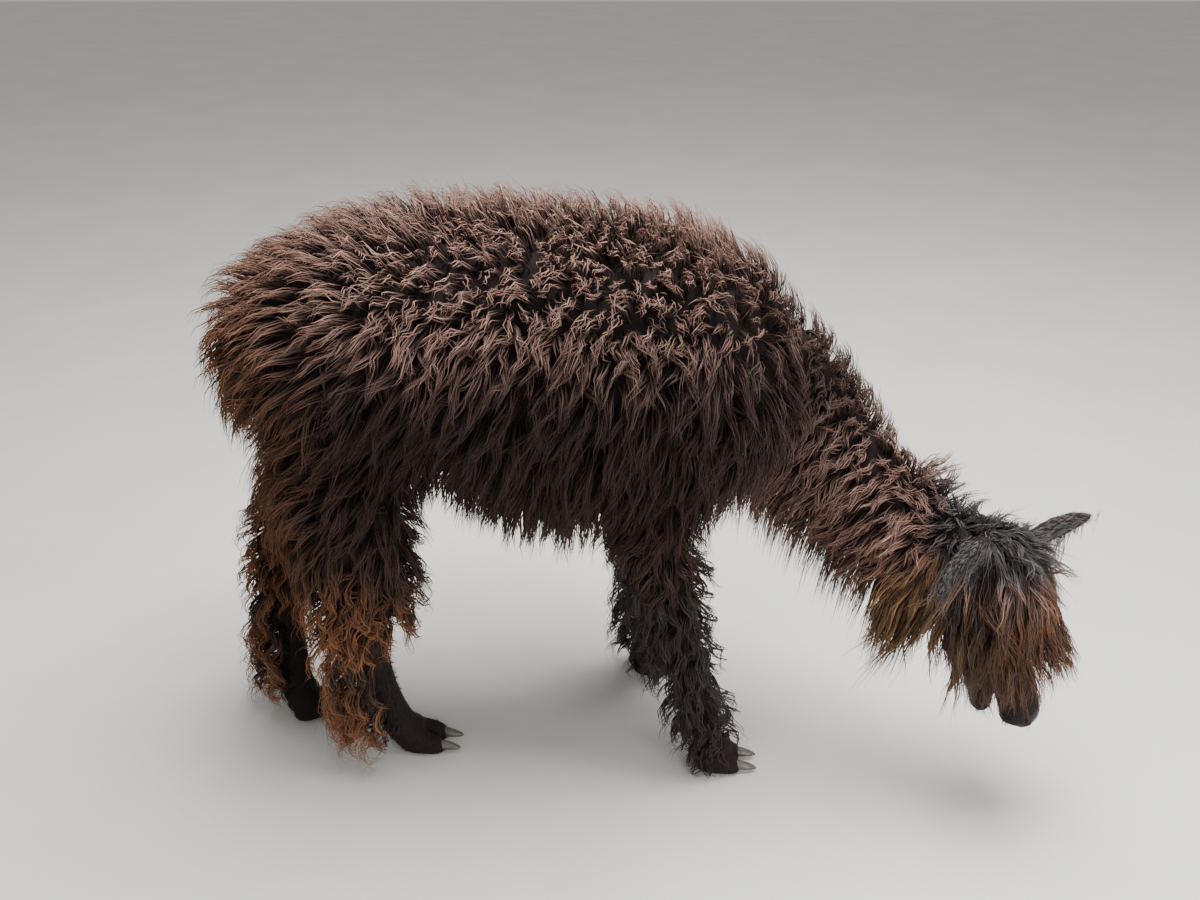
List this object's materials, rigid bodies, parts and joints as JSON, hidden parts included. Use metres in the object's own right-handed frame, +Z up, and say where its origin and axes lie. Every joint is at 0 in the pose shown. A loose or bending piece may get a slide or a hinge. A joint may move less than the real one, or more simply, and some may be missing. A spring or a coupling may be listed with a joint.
{
  "type": "alpaca",
  "caption": "Life-size still model of a dark brown alpaca in full fleece, grazing with its neck lowered and its face turned to one side",
  "frame": {"origin": "middle of the bounding box at floor level", "axes": "+X runs from the rump to the head, +Y to the animal's left, +Z up"},
  "size_m": [1.4232, 0.5428, 0.9789],
  "materials": {
    "fleece": "long dark brown wool in wavy locks",
    "tawny_fleece": "long wavy locks, black at the root and rust brown at the tip",
    "face_hair": "short black hair over skin",
    "ear_hair": "short grey-black hair",
    "nail": "grey horn",
    "eye": "wet dark brown eyeball"
  },
  "bodies": {
    "root": {"ear_left": "ear_hair", "ear_right": "ear_hair", "eye_left": "eye", "eye_right": "eye", "fore_left_foot": "face_hair", "fore_left_lower": "tawny_fleece", "fore_left_nail_inner": "nail", "fore_left_nail_outer": "nail", "fore_left_upper": "fleece", "fore_right_foot": "face_hair", "fore_right_lower": "tawny_fleece", "fore_right_nail_inner": "nail", "fore_right_nail_outer": "nail", "fore_right_upper": "fleece", "forelock": "tawny_fleece", "head": "face_hair", "hind_left_foot": "face_hair", "hind_left_lower": "tawny_fleece", "hind_left_nail_inner": "nail", "hind_left_nail_outer": "nail", "hind_left_upper": "fleece", "hind_right_foot": "face_hair", "hind_right_lower": "tawny_fleece", "hind_right_nail_inner": "nail", "hind_right_nail_outer": "nail", "hind_right_upper": "fleece", "lower_jaw": "face_hair", "neck": "fleece", "tail": "fleece", "trunk": "fleece"}
  },
  "joints": []
}
